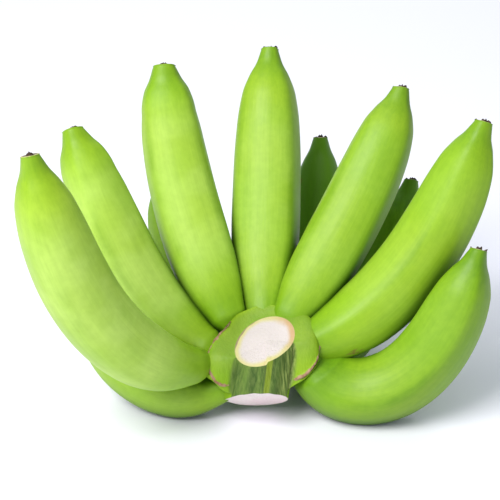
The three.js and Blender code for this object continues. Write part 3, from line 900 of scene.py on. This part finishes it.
def fruit_skin(name, seed, painted_shade, bloom_and_sheen):
    """The skin of one fruit, with a painted shade of its own that makes it deeper, and an amount
    of pale wax bloom that also carries a painted sheen.
    """
    material, tree, shader = new_material(name)
    where, along = layer(tree, "straight", "Vector"), layer(tree, "along")
    large = use(tree, patches, {"Where": where, "Size": 0.045, "Seed": seed})["Mask"]
    wax = use(tree, patches, {"Where": where, "Size": 0.03, "Seed": seed + 20.0})["Mask"]
    fine = use(tree, patches, {"Where": where, "Size": 0.004, "Seed": seed + 40.0})["Mask"]
    stripe = use(tree, streaks, {
        "Where": where, "Width": 0.004, "Stretch": 0.05, "Sharpness": 0.2, "Seed": seed,
    })["Mask"]
    thin = use(tree, streaks, {
        "Where": where, "Width": 0.0011, "Stretch": 0.03, "Sharpness": 0.4, "Seed": seed + 3.0,
    })["Mask"]
    rub = use(tree, rubbed, {"Where": where, "Soft Mask": layer(tree, "scuff"), "Seed": seed})["Mask"]

    colour = tint(tree, reckon(tree, "MULTIPLY", large, 0.5), GREEN, YELLOWER)
    middle = reckon(tree, "MULTIPLY", spread(tree, along, 0.08, 0.35), spread(tree, along, 0.97, 0.7))
    # Wax bloom with a painted sheen, strongest along the middle of each fruit.
    bloom_and_sheen_share = reckon(tree, "MULTIPLY", spread(tree, wax, 0.0, 1.0, 0.45, 0.9), middle)
    bloom_and_sheen_share = reckon(tree, "MULTIPLY", bloom_and_sheen_share, bloom_and_sheen)
    colour = tint(tree, bloom_and_sheen_share, colour, BLOOM_AND_SHEEN)
    ends = reckon(
        tree, "ADD", spread(tree, along, 0.2, 0.02, 0.0, 0.35), spread(tree, along, 0.86, 0.98, 0.0, 0.35),
    )
    darker = reckon(tree, "ADD", ends, reckon(tree, "MULTIPLY", stripe, 0.11))
    darker = reckon(tree, "ADD", darker, reckon(tree, "MULTIPLY", thin, 0.07))
    darker = reckon(tree, "ADD", darker, reckon(tree, "MULTIPLY", fine, 0.08))
    ridge = reckon(tree, "MULTIPLY", layer(tree, "ridge"), spread(tree, large, 0.2, 0.9, 0.0, 0.3))
    darker = reckon(tree, "ADD", darker, reckon(tree, "MULTIPLY", ridge, middle))
    # Each fruit's own painted shade, most on the lower row, which lies in the shade of the upper one.
    colour = tint(tree, reckon(tree, "ADD", darker, painted_shade, clamp=True), colour, DEEP)
    # Painted shade in the crevices and near the ground.
    crevice_shade = layer(tree, "crevice_shade")
    colour = tint(tree, spread(tree, crevice_shade, 0.05, 0.85, 0.0, 0.85), colour, PAINTED_SHADE_GREEN)
    colour = tint(tree, reckon(tree, "MULTIPLY", rub, 0.8), colour, RUB)
    colour = tint(tree, spread(tree, along, 1.012, 1.026, 0.0, 0.7), colour, STRAW)
    colour = tint(tree, spread(tree, along, 1.03, 1.04, 0.0, 0.9), colour, DRIED)
    tree.links.new(colour, shader["Base Color"])

    dull = spread(tree, wax, 0, 1, 0.44, 0.54)
    tree.links.new(tint_value(tree, rub, dull, 0.7), shader["Roughness"])
    height = use(tree, relief, {"Where": where, "Fibre": 0.55, "Seed": seed})["Height"]
    bump = put(tree, "ShaderNodeBump", {"Height": height, "Strength": 0.22, "Distance": 0.0004})
    tree.links.new(bump.outputs["Normal"], shader["Normal"])
    shader["Specular IOR Level"].default_value = 0.32
    shader["Subsurface Weight"].default_value = 0.0
    return material


print("skin: deep, green, yellower, bloom")

# %% [markdown]
# ## The dry flower's brown
# The withered ring is straw-coloured where it grows from the fruit and nearly black on its torn
# edges, so its colour runs with the darkness that the profile carries.

# %% Flower material
def flower_brown():
    """Straw to near black, with a little mottling, and quite rough."""
    material, tree, shader = new_material("dry_flower")
    where = put(tree, "ShaderNodeTexCoord").outputs["Object"]
    mottle = use(tree, patches, {"Where": where, "Size": 0.0012, "Seed": 5.0})["Mask"]
    dark = layer(tree, "dark")
    share = reckon(tree, "ADD", dark, reckon(tree, "MULTIPLY", mottle, 0.25), clamp=True)
    tree.links.new(tint(tree, spread(tree, share, 0.2, 0.85), STRAW, DRIED), shader["Base Color"])
    shader["Roughness"].default_value = 0.85
    height = use(tree, relief, {"Where": where, "Fibre": 0.2, "Seed": 6.0})["Height"]
    bump = put(tree, "ShaderNodeBump", {"Height": height, "Strength": 0.7, "Distance": 0.0005})
    tree.links.new(bump.outputs["Normal"], shader["Normal"])
    return material


print("flower: straw to dried")

# %% [markdown]
# ## Crown, stalk and cuts
# Four finishes meet on this one surface: the smooth bright cushion, the dark fibrous side of the
# stalk, the brown cork of the scar, and the wet flesh of the cuts, creamy in the middle and
# yellow at the rim. The values carried by the mesh say which is where, with soft borders.

# %% Crown material
CUSHION_GREEN = (0.20, 0.37, 0.006, 1)
CUSHION_DULL = (0.17, 0.27, 0.05, 1)
STALK_DARK = (0.03, 0.075, 0.008, 1)
STALK_GREEN = (0.11, 0.19, 0.028, 1)
STALK_OLIVE = (0.20, 0.28, 0.008, 1)
FIBRE_PALE = (0.34, 0.42, 0.11, 1)
CORK = (0.22, 0.115, 0.055, 1)
CORK_PALE = (0.40, 0.26, 0.16, 1)
CREAM = (0.60, 0.54, 0.54, 1)
CREAM_YELLOW = (0.58, 0.53, 0.24, 1)
CREAM_TAN = (0.53, 0.35, 0.19, 1)
CUT_LINE = (0.16, 0.09, 0.085, 1)
LILAC = (0.84, 0.68, 0.69, 1)
LILAC_PALE = (0.86, 0.77, 0.75, 1)


def crown_finish():
    """Stalk and cushion by the layer "bare", then the scar, then the cuts."""
    material, tree, shader = new_material("crown_finish")
    where = put(tree, "ShaderNodeTexCoord").outputs["Object"]
    bare = spread(tree, layer(tree, "bare"), 0.72, 0.95)
    turn, way_up = layer(tree, "turn"), layer(tree, "way_up")
    cut, edge, upper = layer(tree, "cut"), layer(tree, "edge"), layer(tree, "upper")
    large = use(tree, patches, {"Where": where, "Size": 0.016, "Seed": 1.0})["Mask"]
    fine = use(tree, patches, {"Where": where, "Size": 0.003, "Seed": 2.0})["Mask"]
    band = use(tree, streaks, {
        "Where": where, "Width": 0.005, "Stretch": 0.03, "Sharpness": 0.3, "Seed": 3.0,
    })["Mask"]
    fibre = use(tree, streaks, {
        "Where": where, "Width": 0.0012, "Stretch": 0.02, "Sharpness": 0.45, "Seed": 4.0,
    })["Mask"]

    cushion = tint(tree, reckon(tree, "MULTIPLY", large, 0.4), CUSHION_GREEN, YELLOWER)
    top = spread(tree, way_up, 0.66, 0.9, 0.0, 0.45)
    cushion = tint(tree, top, cushion, CUSHION_DULL)
    cushion = tint(tree, reckon(tree, "MULTIPLY", fine, 0.15), cushion, DEEP)
    stalk = tint(tree, band, STALK_DARK, STALK_GREEN)
    middle = reckon(tree, "ABSOLUTE", turn)
    stalk = tint(tree, spread(tree, middle, 0.965, 0.985, 0.0, 0.7), stalk, STALK_DARK)
    olive = reckon(tree, "ABSOLUTE", reckon(tree, "SUBTRACT", turn, 0.944))
    stalk = tint(tree, spread(tree, olive, 0.036, 0.026, 0.0, 0.85), stalk, STALK_OLIVE)
    right = reckon(tree, "ABSOLUTE", reckon(tree, "SUBTRACT", turn, 0.7))
    frayed = reckon(tree, "ADD", spread(tree, right, 0.14, 0.06, 0.0, 0.7), 0.16)
    stalk = tint(tree, reckon(tree, "MULTIPLY", fibre, frayed), stalk, FIBRE_PALE)
    colour = tint(tree, bare, cushion, stalk)

    scar = layer(tree, "scar")
    cork = tint(tree, fine, CORK, CORK_PALE)
    grain = reckon(tree, "ADD", scar, reckon(tree, "MULTIPLY", reckon(tree, "SUBTRACT", fine, 0.5), 0.5))
    colour = tint(tree, spread(tree, grain, 0.3, 0.55), colour, cork)

    tan = spread(tree, reckon(tree, "ABSOLUTE", reckon(tree, "SUBTRACT", turn, 0.42)), 0.4, 0.1)
    rim_colour = tint(tree, tan, CREAM_YELLOW, CREAM_TAN)
    ragged = reckon(tree, "ADD", edge, reckon(tree, "MULTIPLY", reckon(tree, "SUBTRACT", large, 0.5), 0.12))
    flesh = tint(tree, spread(tree, ragged, 0.72, 0.93), CREAM, rim_colour)
    lined = spread(tree, reckon(tree, "ABSOLUTE", reckon(tree, "ADD", turn, 0.3)), 0.34, 0.2)
    lined = reckon(tree, "MULTIPLY", lined, spread(tree, ragged, 0.945, 0.985, 0.0, 0.7))
    flesh = tint(tree, lined, flesh, CUT_LINE)
    low_flesh = tint(tree, large, LILAC, LILAC_PALE)
    flesh = tint(tree, upper, low_flesh, flesh)
    pith = put(tree, "ShaderNodeTexVoronoi", {"Vector": where, "Scale": 900.0}).outputs["Distance"]
    flesh = tint(tree, spread(tree, pith, 0.5, 0.1, 0.0, 0.1), flesh, CREAM_TAN)
    colour = tint(tree, cut, colour, flesh)
    tree.links.new(colour, shader["Base Color"])

    dull = tint_value(tree, bare, 0.52, 0.7)
    dull = tint_value(tree, spread(tree, grain, 0.3, 0.55), dull, 0.8)
    tree.links.new(tint_value(tree, cut, dull, 0.6), shader["Roughness"])
    fibrous = use(tree, relief, {"Where": where, "Fibre": 0.8, "Seed": 7.0})["Height"]
    height = reckon(tree, "ADD", fibrous, reckon(tree, "MULTIPLY", fibre, bare))
    bump = put(tree, "ShaderNodeBump", {"Height": height, "Strength": 0.5, "Distance": 0.0005})
    tree.links.new(bump.outputs["Normal"], shader["Normal"])
    shader["Specular IOR Level"].default_value = 0.3
    return material


print("crown: cushion, stalk, cork and flesh")

# %% [markdown]
# ## Growing the fruits
# Each fruit is its own piece with its own skin, so no two have the same markings, and each stands
# for the plain solid of the same place. Each fruit's colour also carries a painted shade of its own:
# most on the lower row, which lies in the shade of the upper one, so it shows a deeper green.

# %% Fruits
# Each fruit's painted shade, and how thick its wax bloom, with its painted sheen, is.
SHADE_BLOOM_AND_SHEEN = {
    "upper_1": (0.0, 0.9), "upper_2": (0.0, 0.9), "upper_3": (0.06, 0.6), "upper_4": (0.16, 0.4),
    "upper_5": (0.22, 0.3), "upper_6": (0.12, 0.2), "lower_1": (0.14, 0.55), "lower_2": (0.45, 0.2),
    "lower_3": (0.9, 0.05), "lower_4": (0.7, 0.1), "lower_5": (0.36, 0.15),
}
brown = flower_brown()

for seed, (name, fruit) in enumerate(FRUITS.items(), start=1):
    rings, share, straight, degrees = fruit_grid(fruit, seed)
    layers = {
        "along": share, "straight": straight, "scuff": scuff_mask(SCUFFS[name], share, degrees),
        "crevice_shade": painted_crevice_shade_mask(name, rings), "ridge": ridge_mask(share),
    }
    skin = ring_mesh("fruit_" + name, rings, layers)
    skin.data.materials.append(fruit_skin("skin_" + name, float(seed), *SHADE_BLOOM_AND_SHEEN[name]))
    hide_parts("finger_" + name)

    low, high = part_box("finger_" + name)
    reach = (rings.reshape(-1, 3).max(axis=0) * MM - high).max()
    print(name, "stands off its solid by", round(float(reach) / MM, 2), "mm")

    rings, dark = flower_grid(fruit, seed)
    flower = ring_mesh("flower_" + name, rings, {"dark": dark})
    flower.data.materials.append(brown)
    for piece in (skin, flower):
        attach(piece, "root")

# %% [markdown]
# ## Growing the crown
# The crown and stalk stand for one solid of the model, with the necks already part of the fruits.

# %% Crown
rings, layers = crown_grid()
crown = ring_mesh("crown_and_stalk", rings, layers)
crown.data.materials.append(crown_finish())
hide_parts("crown_stalk")
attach(crown, "root")
print("crown", len(crown.data.polygons), "faces")

# %% Sizes
low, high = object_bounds()
print("visual", [round(size / MM, 1) for size in high - low], "mm")
